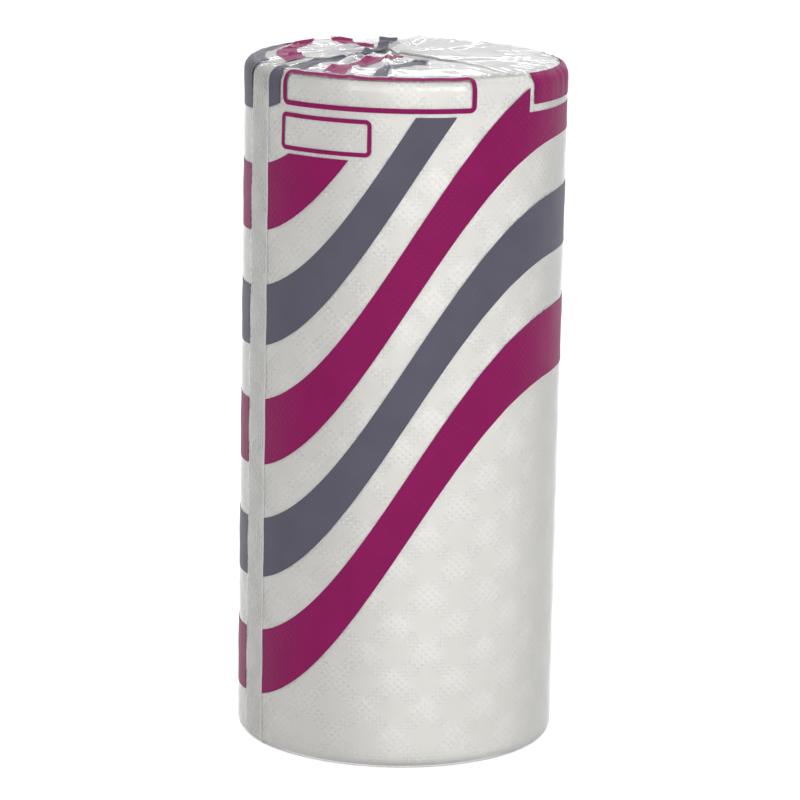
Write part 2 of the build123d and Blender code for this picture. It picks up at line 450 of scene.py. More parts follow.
# The bore is a plain tube, so it needs only a few rings: the two open edges are bridged
bpy.ops.object.mode_set(mode="EDIT")
bpy.ops.mesh.select_all(action="DESELECT")
bpy.ops.mesh.select_mode(type="EDGE")
bpy.ops.mesh.select_non_manifold(
    extend=False, use_wire=False, use_multi_face=False, use_non_contiguous=False, use_verts=False
)
bpy.ops.mesh.bridge_edge_loops(number_cuts=6, interpolation="LINEAR")
bpy.ops.mesh.select_mode(type="VERT")
bpy.ops.mesh.select_all(action="SELECT")
bpy.ops.mesh.normals_make_consistent(inside=False)
bpy.ops.object.mode_set(mode="OBJECT")
bpy.ops.object.shade_smooth()
print("tissue faces:", len(tissue.data.polygons))

# %% [markdown]
# ## The film sleeve
#
# The film is 0.04 mm polyethylene, so it is a single sheet with no thickness of its own. A solid wall
# would double every reflection and every layer of milk. Its two edges lap on the left of the front, 13 mm
# wide: the sheet is made that much longer than the way round, and the last stretch is lifted so that it
# lies on the start. It follows the emboss, and gathers in small pleats near the top, where the end is
# folded in. Both edges of the lap are marked as creases, and the film's shader paints them whiter: a
# painted highlight along the two edges of the lap.

# %% The film sleeve
SEAM_AT = radians(-63) * FILM_RADIUS
SEAM_WIDTH = 13 * MM
SEAM_LIFT = 0.2 * MM
SEAM_STEP = 2 * MM
SEAM_EDGE = 0.5 * MM
PLEAT_HEIGHT = 0.55 * MM
FINE_PLEAT_HEIGHT = 0.22 * MM
LAP_START = SEAM_AT - SEAM_WIDTH / 2
LAP_END = SEAM_AT + SEAM_WIDTH / 2


def film_lift(along, up):
    """How far the film stands off its plain shape."""
    lift = FILM_RELIEF * pillow(along, up)
    near_top = smooth(206 * MM, 226 * MM, up) * (1 - smooth(TOP_CENTRE - 36 * MM, TOP_CENTRE - 24 * MM, up))
    angle = along / FILM_RADIUS
    pleats = noise.noise(Vector((sin(angle) * 16, cos(angle) * 16, up / (42 * MM))))
    fine = noise.noise(Vector((sin(angle) * 38, cos(angle) * 38, up / (30 * MM) + 7)))
    slack = 0.35 + 0.65 * smooth(-0.2, 1.0, -cos(angle + 0.9))
    return lift + near_top * slack * (PLEAT_HEIGHT * pleats + FINE_PLEAT_HEIGHT * fine)


def film_place(along, up, lift):
    """The place of a point of the film's sheet."""
    over = smooth(LAP_START + ROUND, LAP_START + ROUND + SEAM_STEP, along) * smooth(-1 * MM, 4 * MM, up)
    return roll_up(along, up, lift + film_lift(along, up) + SEAM_LIFT * over)


SLEEVE_CELL = 1.5 * MM
OPEN_RADIUS = 40 * MM
SLEEVE_TOP = TOP_CENTRE - OPEN_RADIUS
SLEEVE_FOOT = BASE_CENTRE + OPEN_RADIUS
sleeve = flat_sheet("film_sleeve", LAP_START, LAP_END + ROUND, SLEEVE_FOOT, SLEEVE_TOP, SLEEVE_CELL)
for edge in (LAP_START + ROUND, LAP_END + ROUND):
    for side in (edge - SEAM_EDGE, edge, edge + SEAM_EDGE):
        cut_line(sleeve, (side, 0), (0, 1))
    # The two lap edges get a painted highlight: the film's shader paints them whiter
    mark_crease_highlights(sleeve, [[(edge, SLEEVE_FOOT), (edge, SLEEVE_TOP)]], 1.2 * SEAM_EDGE)
wrap(sleeve, film_place)
close_up(sleeve)
print("sleeve faces:", len(sleeve.data.polygons))

# %% [markdown]
# ## Crumples
#
# Film doesn't wrinkle in soft waves as cloth does. It buckles into flat facets that meet in sharp
# creases, and a noise texture can't give those. So random points are strewn over the end and joined into
# triangles, and each point is given a height of its own. Stretching the points in one direction gives the
# long slivers of film that is pulled while it is folded. Three such fields are added up: long, small and
# tiny facets.


# %% Crumples
STRAY = 0.42


def facet_field(seed, spacing, stretch, turn, height, reach=60 * MM):
    """A function of (x, y) that gives the height of a surface of random flat facets."""
    draw = random.Random(seed)
    half = ceil(reach / spacing) + 1
    points, heights = [], []
    for row in range(-half, half + 1):
        for column in range(-half, half + 1):
            across = column + draw.uniform(-STRAY, STRAY)
            away = row + draw.uniform(-STRAY, STRAY)
            points.append(Vector((across, away)) * spacing)
            heights.append(draw.uniform(-height, height))
    kept, _, triangles, origins, _, _ = delaunay_2d_cdt(points, [], [], 0, 1e-7)
    cosine, sine = cos(turn), sin(turn)
    corners = []
    for point, origin in zip(kept, origins):
        x, y = point.x * stretch, point.y
        corners.append(Vector((x * cosine - y * sine, x * sine + y * cosine, heights[origin[0]])))
    tree = BVHTree.FromPolygons(corners, triangles)

    def height_at(x, y):
        place = tree.ray_cast(Vector((x, y, 1)), Vector((0, 0, -1)))[0]
        return place.z if place else 0

    return height_at


long_facets = facet_field(seed=11, spacing=12 * MM, stretch=2.6, turn=radians(-24), height=0.8 * MM)
small_facets = facet_field(seed=12, spacing=5 * MM, stretch=1.8, turn=radians(-35), height=0.6 * MM)
tiny_facets = facet_field(seed=13, spacing=2.6 * MM, stretch=1.6, turn=radians(20), height=0.22 * MM)
middle_heights = [field(0, 0) for field in (long_facets, small_facets, tiny_facets)]
print("facet heights in the middle, in mm:", [round(height / MM, 2) for height in middle_heights])


def inside(x, y, outline):
    """Whether a point is inside a closed outline."""
    odd = False
    for (ax, ay), (bx, by) in zip(outline, outline[1:] + outline[:1]):
        if (ay > y) != (by > y) and x < ax + (y - ay) * (bx - ax) / (by - ay):
            odd = not odd
    return odd


# %% [markdown]
# ## The folded top
#
# The open end of the sleeve is pushed in from both sides and folded over, like the end of a parcel. From
# below, that is a closing layer over the whole end, the flap from the back and right, the flap from the
# front, and the ear from the left on top. A cloth simulation could fold a real tube, but it would take
# minutes and fold it in another way each time. So each layer is a flat sheet that is cut to its outline,
# crumpled and laid on the last. Folded edges are lifted a little, because doubled film springs up along
# its fold.

# %% The folded top
def in_mm(points):
    """Points given in millimetres, as seen from above."""
    return [(x * MM, y * MM) for x, y in points]


# The outlines go on past the rim, where the round of the end cuts them off
BACK_FLAP = in_mm(
    [(62, -62), (40, -43), (20, -26), (4, -9), (-3, -2), (-7, 12), (-4, 30), (-12, 62), (62, 62)]
)
FRONT_FLAP = in_mm([
    (-62, -34), (-44, -27), (-28, -20), (-15, -10), (-6, -9),
    (3, -20), (20, -32), (40, -46), (62, -62), (-62, -62),
])
LEFT_EAR = in_mm(
    [(-62, 32), (-37, 20), (-20, 25), (-3, 28), (-6, 12), (-9, -5), (-20, -16), (-36, -22), (-62, -36)]
)
# Each crease is a line, and the width and height of its ridge
CREASES = [
    (in_mm([(-2, -3), (16, -20), (38, -41)]), 1.2 * MM, 0.7 * MM),
    (in_mm([(-3, -18), (18, -31), (39, -46)]), 1.2 * MM, 0.7 * MM),
    (in_mm([(-37, 20), (-20, 25), (-3, 28)]), 1.3 * MM, 0.9 * MM),
    (in_mm([(-40, 4), (-18, 12), (-5, 13)]), 1.5 * MM, 1.1 * MM),
    (in_mm([(-38, -12), (-24, -2), (-8, -2)]), 1.5 * MM, 0.9 * MM),
    (in_mm([(-9, -4), (-15, -24), (-18, -50)]), 1.6 * MM, 1.1 * MM),
    (in_mm([(-14, -8), (-23, -28), (-27, -50)]), 1.4 * MM, 0.9 * MM),
    (in_mm([(-6, -8), (-7, -28), (-4, -50)]), 1.4 * MM, 0.9 * MM),
    (in_mm([(3, 50), (5, 36), (0, 24)]), 2.2 * MM, 0.9 * MM),
    (in_mm([(30, 38), (18, 20), (2, 8)]), 2.4 * MM, 0.6 * MM),
]


def top_lift(x, y):
    """How far the folded film stands off the flat end at a place seen from above."""
    radius = hypot(x, y)
    keep = 1 - smooth(FLAT_TOP_RADIUS - 8 * MM, FLAT_TOP_RADIUS + 3 * MM, radius)
    # Most of the small crumples are round the left of the middle, where the folds meet
    near_folds = 1 - smooth(10 * MM, 34 * MM, hypot(x + 18 * MM, (y + 6 * MM) * 0.7))
    small = small_facets(x, y) * (0.12 + near_folds)
    tiny = tiny_facets(x, y) * (0.06 + near_folds)
    lift = keep * (long_facets(x, y) + small + tiny)
    ridges = max(height * max(0, 1 - line_distance(x, y, line) / width) for line, width, height in CREASES)
    return lift + (0.35 + 0.65 * keep) * ridges


def lay_on_top(x, y, lift):
    """The place of a point that is laid on the end, whose far sides go down over the shoulder."""
    radius = hypot(x, y)
    up = TOP_CENTRE - radius
    angle = atan2(x, -y) * FILM_RADIUS
    flat = 1 - smooth(FLAT_TOP_RADIUS - 12 * MM, FLAT_TOP_RADIUS + 2 * MM, radius)
    total = film_lift(angle, up) + (0.08 + 0.75 * flat) * MM + lift * (0.2 + 0.8 * flat) + top_lift(x, y)
    return roll_up(angle, up, total)


LAYER_STEP = 0.3 * MM
FOLD_SPRING = 0.4 * MM
FOLD_WIDTH = 1.5 * MM
# Without a seed, noise vectors start from the clock, and each run would fold the film in another way
noise.seed_set(7)


def layer_place(level, folds, seed):
    """The function that lays one layer of the folded end, its folded edges sprung up and uneven."""

    def place(x, y, lift):
        drift = noise.noise_vector(Vector((x, y, seed)) / (7 * MM)) * 0.9 * MM if folds else Vector()
        spring = max([0] + [1 - line_distance(x, y, fold) / FOLD_WIDTH for fold in folds])
        return lay_on_top(x + drift.x, y + drift.y, lift + level * LAYER_STEP + FOLD_SPRING * spring**1.5)

    return place


FOLD_REACH = 52 * MM


def folds_of(outline):
    """The sides of an outline that lie on the end, where the film is folded over."""
    return [pair for pair in zip(outline, outline[1:]) if min(hypot(*pair[0]), hypot(*pair[1])) < FOLD_REACH]


def trim(piece, outline, reach):
    """Cuts a flat sheet to an outline and to a round of that reach."""
    for start, end in zip(outline, outline[1:] + outline[:1]):
        if min(hypot(*start), hypot(*end)) < reach:
            cut_line(piece, start, (end[0] - start[0], end[1] - start[1]))
    cut_away(piece, lambda x, y: not inside(x, y, outline) or hypot(x, y) > reach)


LAYER_REACH = 59 * MM
LAYER_CELL = 0.9 * MM
LAYERS = {}
OUTLINES = {
    "film_top_back_flap": BACK_FLAP,
    "film_top_front_flap": FRONT_FLAP,
    "film_top_left_ear": LEFT_EAR,
}
cap_pieces = []
# Folded edges and creases are marked for a painted highlight, which the film's shader paints whiter
for level, name in enumerate(("film_top_closing", *OUTLINES)):
    piece = flat_sheet(name, -LAYER_REACH, LAYER_REACH, -LAYER_REACH, LAYER_REACH, LAYER_CELL)
    if name in OUTLINES:
        trim(piece, OUTLINES[name], LAYER_REACH)
        folds = folds_of(OUTLINES[name])
        mark_crease_highlights(piece, folds, 0.9 * MM)
    else:
        cut_away(piece, lambda x, y: hypot(x, y) > LAYER_REACH)
        folds = []
    LAYERS[name] = layer_place(level, folds, level)
    wrap(piece, LAYERS[name])
    mark_crease_highlights(piece, [line for line, _, _ in CREASES], 0.7 * MM)
    bpy.ops.object.shade_smooth()
    cap_pieces.append(piece)
print("top layers:", {piece.name: len(piece.data.polygons) for piece in cap_pieces})

# %% [markdown]
# ## The folded base
#
# The base is folded like the top, and then the roll stands on it. So its layers are the same kind of
# flaps, in mirror image, but pressed flat: only a sixteenth of a millimetre lies between them, and
# nothing hangs lower than the foot. What shows of the folds is their edges. They and a few crease lines
# are marked, and the film's shader paints them whiter: a painted highlight.

# %% The folded base
BASE_REACH = 47.5 * MM
BASE_STEP = 0.06 * MM
BASE_CELL = 1.5 * MM
BASE_HIGHLIGHT_WIDTH = 1.2 * MM
# Lines that are only painted: the film's shader paints them whiter as a painted highlight, and the base
# stays flat under them
BASE_HIGHLIGHT_CREASES = [
    in_mm([(-46, 9), (-15, -3), (17, 3), (46, -10)]),
    in_mm([(-44, 15), (-15, -3), (-40, -22)]),
    in_mm([(43, 19), (17, 3), (39, -26)]),
]


def base_place(level):
    """The function that lays one layer on the base, the inner layers higher."""

    def place(x, y, _):
        return roll_up(atan2(x, -y) * FILM_RADIUS, BASE_CENTRE + hypot(x, y), (level - 4) * BASE_STEP)

    return place


base_pieces = []
BASE_FLAPS = {
    "film_base_back_flap": BACK_FLAP,
    "film_base_front_flap": FRONT_FLAP,
    "film_base_right_ear": LEFT_EAR,
}
# Folded edges and the base creases are marked for a painted highlight, which the film's shader paints whiter
for level, name in enumerate(("film_base_closing", *BASE_FLAPS)):
    piece = flat_sheet(name, -BASE_REACH, BASE_REACH, -BASE_REACH, BASE_REACH, BASE_CELL)
    if name in BASE_FLAPS:
        outline = [(-x, y) for x, y in BASE_FLAPS[name]]
        trim(piece, outline, BASE_REACH)
        mark_crease_highlights(piece, folds_of(outline) + BASE_HIGHLIGHT_CREASES, BASE_HIGHLIGHT_WIDTH)
    else:
        cut_away(piece, lambda x, y: hypot(x, y) > BASE_REACH)
        mark_crease_highlights(piece, BASE_HIGHLIGHT_CREASES, BASE_HIGHLIGHT_WIDTH)
    wrap(piece, base_place(level))
    bpy.ops.object.mode_set(mode="EDIT")
    bpy.ops.mesh.select_all(action="SELECT")
    bpy.ops.mesh.flip_normals()
    bpy.ops.object.mode_set(mode="OBJECT")
    bpy.ops.object.shade_smooth()
    base_pieces.append(piece)
print("base layers:", {piece.name: len(piece.data.polygons) for piece in base_pieces})

# %% [markdown]
# ## The print
#
# The film is printed before it is wrapped, in two inks. Broad magenta and slate bands swing up from left
# to right, and two empty frames and a tab hang from the top edge. The bands could be drawn in the film's
# shader, but then the meshes of this part would have no print. So each band is a flat grid, pushed into
# the swing, cut where the seam and the frames are left bare, and rolled on to the film, a tenth of a
# millimetre outside it.

# %% The print
INK_LIFT = 0.12 * MM
SHOULDER_INK_LIFT = 1.1 * MM
WAVE_RISE = 112 * MM
LOWEST_BAND = 16 * MM
MAGENTA_WIDTH = 22 * MM
GREY_WIDTH = 20 * MM
BAND_GAP = 18 * MM
BAND_PERIOD = MAGENTA_WIDTH + GREY_WIDTH + 2 * BAND_GAP
PRINT_FOOT = 1.5 * MM
PRINT_TOP = 227 * MM
LEFT_PRINT_TOP = SHOULDER_START + SHOULDER * pi / 2 + 1.5 * MM
PRINT_CELL = 1.5 * MM
WIDE_FRAME = (-39 * MM, 22.4 * MM, 216.4 * MM, 228.4 * MM)
SMALL_FRAME = (-39.4 * MM, -10.6 * MM, 202 * MM, 214 * MM)
FRAME_MARGIN = 1.2 * MM
TAB_MARGIN = 2.4 * MM
LEFT_SIDE = (-2.6, -0.9)
TAB = (radians(51) * FILM_RADIUS, radians(109) * FILM_RADIUS, 217.5 * MM, 228 * MM)


def wave(along):
    """How far a band has swung up at a place along the sheet."""
    share = (front_x(along) / FILM_RADIUS + 1) / 2
    return WAVE_RISE * share * share * (3 - 2 * share)


def frame_box(box, margin=0):
    """A frame's sides on the flat sheet, from its sides in front view."""
    left, right, bottom, top = box
    return along_at(left) - margin, along_at(right) + margin, bottom - margin, top + margin


wide_bare = frame_box(WIDE_FRAME, FRAME_MARGIN)
small_bare = frame_box(SMALL_FRAME, FRAME_MARGIN)
# Places without bands, each as left, right, bottom and top: the lap, both frames and the tab
BARE = [
    (LAP_START, LAP_END, -1, 1),
    (wide_bare[0], wide_bare[1] + 2 * MM, wide_bare[2], 1),
    (small_bare[0], small_bare[1] + 3 * MM, small_bare[2], 1),
    (TAB[0] - TAB_MARGIN, TAB[1] + TAB_MARGIN, TAB[2] - TAB_MARGIN, 1),
]


def left_side(along):
    """Whether a place is on the left of the pack, where the print goes on over the shoulder."""
    return LEFT_SIDE[0] < along / FILM_RADIUS < LEFT_SIDE[1]


def printed_band(name, bottom, width):
    """One band on the flat sheet, cut to the print's edges and the bare places."""
    piece = flat_sheet(name, -ROUND / 2, ROUND / 2, bottom, bottom + width, PRINT_CELL)
    for vertex in piece.data.vertices:
        vertex.co.y += wave(vertex.co.x)
    for line in (PRINT_FOOT, PRINT_TOP, LEFT_PRINT_TOP):
        cut_line(piece, (0, line), (1, 0))
    for left, right, low, high in BARE:
        for side in (left, right):
            cut_line(piece, (side, 0), (0, 1))
        cut_line(piece, (0, low), (1, 0))

    def is_bare(x, y):
        if y < PRINT_FOOT or y > (LEFT_PRINT_TOP if left_side(x) else PRINT_TOP):
            return True
        return any(left < x < right and low < y < high for left, right, low, high in BARE)

    cut_away(piece, is_bare)
    return piece


def printed_frame(name, box, line, corner):
    """An empty frame with rounded corners, cut into columns so that it can bend round the wall."""
    left, right, bottom, top = frame_box(box)
    bpy.ops.object.select_all(action="DESELECT")
    bpy.ops.mesh.primitive_plane_add(size=1)
    piece = bpy.context.object
    piece.name = name
    piece.scale = (right - left, top - bottom, 1)
    piece.location = ((left + right) / 2, (bottom + top) / 2, 0)
    bpy.ops.object.transform_apply()
    bpy.ops.object.mode_set(mode="EDIT")
    bpy.ops.mesh.select_all(action="SELECT")
    bpy.ops.mesh.bevel(offset=corner, segments=5, affect="VERTICES")
    bpy.ops.mesh.select_all(action="SELECT")
    bpy.ops.mesh.inset(thickness=line)
    bpy.ops.mesh.delete(type="FACE")
    bpy.ops.object.mode_set(mode="OBJECT")
    for column in range(1, ceil((right - left) / PRINT_CELL)):
        cut_line(piece, (left + column * PRINT_CELL, 0), (0, 1))
    for row in range(1, ceil((top - bottom) / PRINT_CELL)):
        cut_line(piece, (0, bottom + row * PRINT_CELL), (1, 0))
    return piece


def join(name, pieces):
    """Joins pieces into one and names it."""
    bpy.ops.object.select_all(action="DESELECT")
    for piece in pieces:
        piece.select_set(True)
    bpy.context.view_layer.objects.active = pieces[0]
    bpy.ops.object.join()
    pieces[0].name = name
    return pieces[0]


def ink_place(along, up, lift):
    """The place of a point of the print, just outside the film and all its layers on the shoulder."""
    on_wall = roll_up(along, up, film_lift(along, up) + INK_LIFT)
    if up <= 212 * MM:
        return on_wall
    radius, angle = TOP_CENTRE - up, along / FILM_RADIUS
    on_folds = lay_on_top(radius * sin(angle), -radius * cos(angle), SHOULDER_INK_LIFT)
    return on_wall.lerp(on_folds, smooth(214 * MM, 221 * MM, up))


# The bands that the folding has carried on to the top: each is its layer of film and an outline in mm, seen
# from above. The outlines go on past the layer, which cuts them off.
FOLD_PRINTS = {
    "magenta": [
        ("film_top_left_ear", [
            (-36, -32), (-42, -12), (-43, 4), (-39, 18), (-31, 35),
            (-25, 35), (-33, 17), (-36, 4), (-35, -10), (-28, -32),
        ]),
        ("film_top_left_ear", [
            (-30, 44), (-26, 22), (-19, 13), (-11.5, 8), (-11, 13), (-16, 19), (-20, 28), (-22, 44),
        ]),
        ("film_top_front_flap", [
            (-30, -54), (-26, -38), (-21, -27), (-14, -19), (2, -4),
            (6, -9), (-10, -24), (-16, -32), (-19, -42), (-20, -54),
        ]),
    ],
    "grey": [
        ("film_top_closing", [
            (-60, -4), (-44, 4), (-42, 14), (-36, 25), (-27, 35), (-20, 50), (-60, 50),
        ]),
        ("film_top_left_ear", [
            (-60, -40), (-45, -32), (-46, -12), (-46, 2), (-43, 14), (-36, 26), (-28, 42), (-60, 42),
        ]),
        ("film_top_left_ear", [
            (-10, 34), (-3, 34), (-4, 16), (-7, 4), (-10, -6),
            (-17, -16), (-20, -14), (-14, -3), (-10.5, 8), (-9, 18),
        ]),
        ("film_top_front_flap", [
            (-46, -44), (-38, -30), (-31, -22), (-22, -13), (-18, -17), (-26, -25), (-32, -34), (-36, -46),
        ]),
        ("film_top_front_flap", [
            (-12, -56), (-10, -40), (-6, -30), (3, -20), (14, -10),
            (17, -15), (5, -26), (-2, -34), (-6, -42), (-7, -56),
        ]),
    ],
}
FOLD_PRINT_LIFT = 0.07 * MM
FOLD_PRINT_REACH = 48.5 * MM


def rounded(points):
    """An outline with its corners cut off twice, which leaves soft curves."""
    for _ in range(2):
        sides = list(zip(points, points[1:] + points[:1]))
        points = []
        for (ax, ay), (bx, by) in sides:
            for share in (0.25, 0.75):
                points.append((ax + share * (bx - ax), ay + share * (by - ay)))
    return points


def fold_prints(colour):
    """The parts of the print that the folding has carried on to the end."""
    patches = []
    for number, (layer, outline) in enumerate(FOLD_PRINTS[colour]):
        outline = rounded(in_mm(outline))
        left, right = min(x for x, _ in outline), max(x for x, _ in outline)
        low, high = min(y for _, y in outline), max(y for _, y in outline)
        patch = flat_sheet(f"{colour}_fold_{number}", left, right, low, high, LAYER_CELL)
        trim(patch, outline, FOLD_PRINT_REACH)
        if layer in OUTLINES:
            trim(patch, OUTLINES[layer], FOLD_PRINT_REACH)
        wrap(patch, lambda x, y, _: LAYERS[layer](x, y, FOLD_PRINT_LIFT))
        patches.append(patch)
    return patches


magenta_pieces = [
    printed_band(f"magenta_{n}", LOWEST_BAND + n * BAND_PERIOD, MAGENTA_WIDTH) for n in range(3)
]
magenta_pieces.append(printed_frame("wide_frame", WIDE_FRAME, 1.6 * MM, 2.2 * MM))
magenta_pieces.append(printed_frame("small_frame", SMALL_FRAME, 1.4 * MM, 2 * MM))
magenta_pieces.append(flat_sheet("tab", *TAB, PRINT_CELL))
magenta_wall = join("magenta_ink", magenta_pieces)
grey_bottom = LOWEST_BAND + MAGENTA_WIDTH + BAND_GAP
grey_pieces = [printed_band(f"grey_{n}", grey_bottom + n * BAND_PERIOD, GREY_WIDTH) for n in range(3)]
grey_wall = join("grey_ink", grey_pieces)
for ink in (magenta_wall, grey_wall):
    bpy.context.view_layer.objects.active = ink
    wrap(ink, ink_place)
magenta_ink = join("magenta_ink", [magenta_wall, *fold_prints("magenta")])
grey_ink = join("grey_ink", [grey_wall, *fold_prints("grey")])
for ink in (magenta_ink, grey_ink):
    close_up(ink)
    print(ink.name, "faces:", len(ink.data.polygons))

# %% [markdown]
# ## The emboss in the shaders
#
# The dots are pressed into the tissue and show through film and ink, so one function draws them for every
# material. It reads the flat sheet's UV map, in metres, and divides it by the size of a diamond. The sum
# and the difference of the two numbers then count the slanting rows. A third of each row is the strip with
# the dots, and eight dots go along the side of a diamond. They are 1.8 mm apart, as on the real roll, so
# nothing is drawn coarser than it is.

# %% The emboss in the shaders
STRIP_EDGE = (0.155, 0.18)
DOT_EDGE = (0.02, 0.12)


def emboss(tree):
    """Two sockets from 0 to 1: the height of the dots, and the strips that they stand in."""
    flat = add_node(tree, "ShaderNodeUVMap", {"uv_map": "flat_sheet"})
    parts = add_node(tree, "ShaderNodeSeparateXYZ", Vector=flat.outputs[0])
    x, y = parts.outputs["X"], parts.outputs["Y"]
    across = add_node(tree, "ShaderNodeMath", {"operation": "DIVIDE"}, _0=x, _1=DIAMOND_WIDTH)
    up = add_node(tree, "ShaderNodeMath", {"operation": "DIVIDE"}, _0=y, _1=DIAMOND_HEIGHT)
    from_sides, from_dots = [], []
    for slant in ("ADD", "SUBTRACT"):
        line = add_node(tree, "ShaderNodeMath", {"operation": slant}, _0=across.outputs[0], _1=up.outputs[0])
        count = line.outputs[0]
        side = add_node(tree, "ShaderNodeMath", {"operation": "PINGPONG"}, _0=count, _1=0.5)
        dots = add_node(tree, "ShaderNodeMath", {"operation": "MULTIPLY"}, _0=count, _1=DOTS_A_SIDE)
        dot = add_node(tree, "ShaderNodeMath", {"operation": "PINGPONG"}, _0=dots.outputs[0], _1=0.5)
        square = add_node(tree, "ShaderNodeMath", {"operation": "POWER"}, _0=dot.outputs[0], _1=2.0)
        from_sides.append(side.outputs[0])
        from_dots.append(square.outputs[0])
    nearest = add_node(tree, "ShaderNodeMath", {"operation": "MINIMUM"}, _0=from_sides[0], _1=from_sides[1])
    strips = add_node(
        tree, "ShaderNodeMapRange", {"interpolation_type": "SMOOTHSTEP"}, Value=nearest.outputs[0],
        From_Min=STRIP_EDGE[0], From_Max=STRIP_EDGE[1], To_Min=1.0, To_Max=0.0,
    )
    far = add_node(tree, "ShaderNodeMath", {"operation": "ADD"}, _0=from_dots[0], _1=from_dots[1])
    bells = add_node(
        tree, "ShaderNodeMapRange", {"interpolation_type": "SMOOTHSTEP"}, Value=far.outputs[0],
        From_Min=DOT_EDGE[0], From_Max=DOT_EDGE[1], To_Min=1.0, To_Max=0.0,
    )
    in_strips = strips.outputs[0]
    raised = add_node(tree, "ShaderNodeMath", {"operation": "MULTIPLY"}, _0=bells.outputs[0], _1=in_strips)
    return raised.outputs[0], in_strips


# %% [markdown]
# ## Tissue paper
#
# The web is tissue: short fibres laid wet, dried on a hot drum and embossed between rollers. To the eye
# it is a little uneven in tone. The strips with the dots are painted slightly lighter, as a painted
# highlight for the glints that the raised dots catch. Paper has no gloss to speak of, so its roughness is
# near 1.

# %% Tissue paper
# Bleached tissue, laid wet and embossed: matt and warm white, which reads as soft
tissue_paper, tree = new_material("embossed_tissue_paper")
dots, strips = emboss(tree)
place = add_node(tree, "ShaderNodeTexCoord").outputs["Object"]
# Fibres of 1.1 mm and less are 900 to the metre. The tone drifts over 17 mm, as the pulp has settled
fibre = add_node(tree, "ShaderNodeTexNoise", Vector=place, Scale=900.0, Detail=4.0, Roughness=0.6)
cloud = add_node(tree, "ShaderNodeTexNoise", Vector=place, Scale=60.0, Detail=3.0)
tone = add_node(
    tree, "ShaderNodeMix", {"data_type": "RGBA"},
    Factor=cloud.outputs["Fac"], A=linear("#e4e3de"), B=linear("#edece8"),
)
# Painted highlight: the strips with the dots are mixed 15 per cent towards white
painted_strip_highlight = add_node(tree, "ShaderNodeMath", {"operation": "MULTIPLY"}, _0=strips, _1=0.15)
tone = add_node(
    tree, "ShaderNodeMix", {"data_type": "RGBA"},
    Factor=painted_strip_highlight.outputs[0], A=tone.outputs["Result"], B=linear("#fffffd"),
)
fibre_bump = add_node(tree, "ShaderNodeBump", Strength=0.25, Distance=0.1 * MM, Height=fibre.outputs["Fac"])
dot_bump = add_node(
    tree, "ShaderNodeBump", Strength=0.8, Distance=0.26 * MM, Height=dots, Normal=fibre_bump.outputs[0]
)
paper = add_node(
    tree, "ShaderNodeBsdfPrincipled",
    Base_Color=tone.outputs["Result"], Roughness=0.92, Normal=dot_bump.outputs[0],
)
add_node(tree, "ShaderNodeOutputMaterial", Surface=paper.outputs[0])
tissue.data.materials.append(tissue_paper)
print("paper:", tissue_paper.name)

# %% [markdown]
# ## Inks
#
# The colours are flexographic ink, printed by a soft raised plate on the outside of the film. Such ink is
# thin and even. It hides the paper, follows the dots, and is less glossy than bare film. Both inks are
# the same material in two colours, so one function makes them, and each varies only a little in tone.

# %% Inks
def ink_material(name, dark, light):
    """Flexographic ink, printed on film: opaque, even and half glossy."""
    material, tree = new_material(name)
    dots, _ = emboss(tree)
    place = add_node(tree, "ShaderNodeTexCoord").outputs["Object"]
    # The ink lies a little thicker and thinner over about 11 mm
    cloud = add_node(tree, "ShaderNodeTexNoise", Vector=place, Scale=90.0, Detail=4.0)
    tone = add_node(
        tree, "ShaderNodeMix", {"data_type": "RGBA"},
        Factor=cloud.outputs["Fac"], A=linear(dark), B=linear(light),
    )
    bump = add_node(tree, "ShaderNodeBump", Strength=0.5, Distance=0.15 * MM, Height=dots)
    ink = add_node(
        tree, "ShaderNodeBsdfPrincipled", Base_Color=tone.outputs["Result"], Roughness=0.45,
        Specular_IOR_Level=0.15, Normal=bump.outputs[0],
    )
    add_node(tree, "ShaderNodeOutputMaterial", Surface=ink.outputs[0])
    return material


magenta_ink.data.materials.clear()
magenta_ink.data.materials.append(ink_material("magenta_flexo_ink", "#76054a", "#880a56"))
grey_ink.data.materials.clear()
grey_ink.data.materials.append(ink_material("slate_flexo_ink", "#4e4c59", "#5a5865"))
print("inks:", magenta_ink.data.materials[0].name, grey_ink.data.materials[0].name)

# %% [markdown]
# ## Clear film
#
# The wrap is blown polyethylene film. It is clear, so most light goes straight through. It is a little
# milky, and more so where it is folded several times over. Along creases and folded edges the milk is
# raised too, which paints them whiter: a painted highlight. And it mirrors lamps and the white room, more
# at a grazing angle than from in front. A glass shader on a single sheet would bend the light as a solid
# block does, so the film is mixed from three simple things: a transparent part, a milky body, and a
# mirror whose share a Fresnel node sets for an index of 1.45. The layers of the top fade out on the
# shoulder, where on the real pack they run into the sleeve.

# %% Clear film
FILM_IOR = 1.45
# The milk added along creases and folded edges is a painted highlight
CREASE_HIGHLIGHT_MILK = 0.5
FADE_START = 46 * MM
FADE_END = 52 * MM


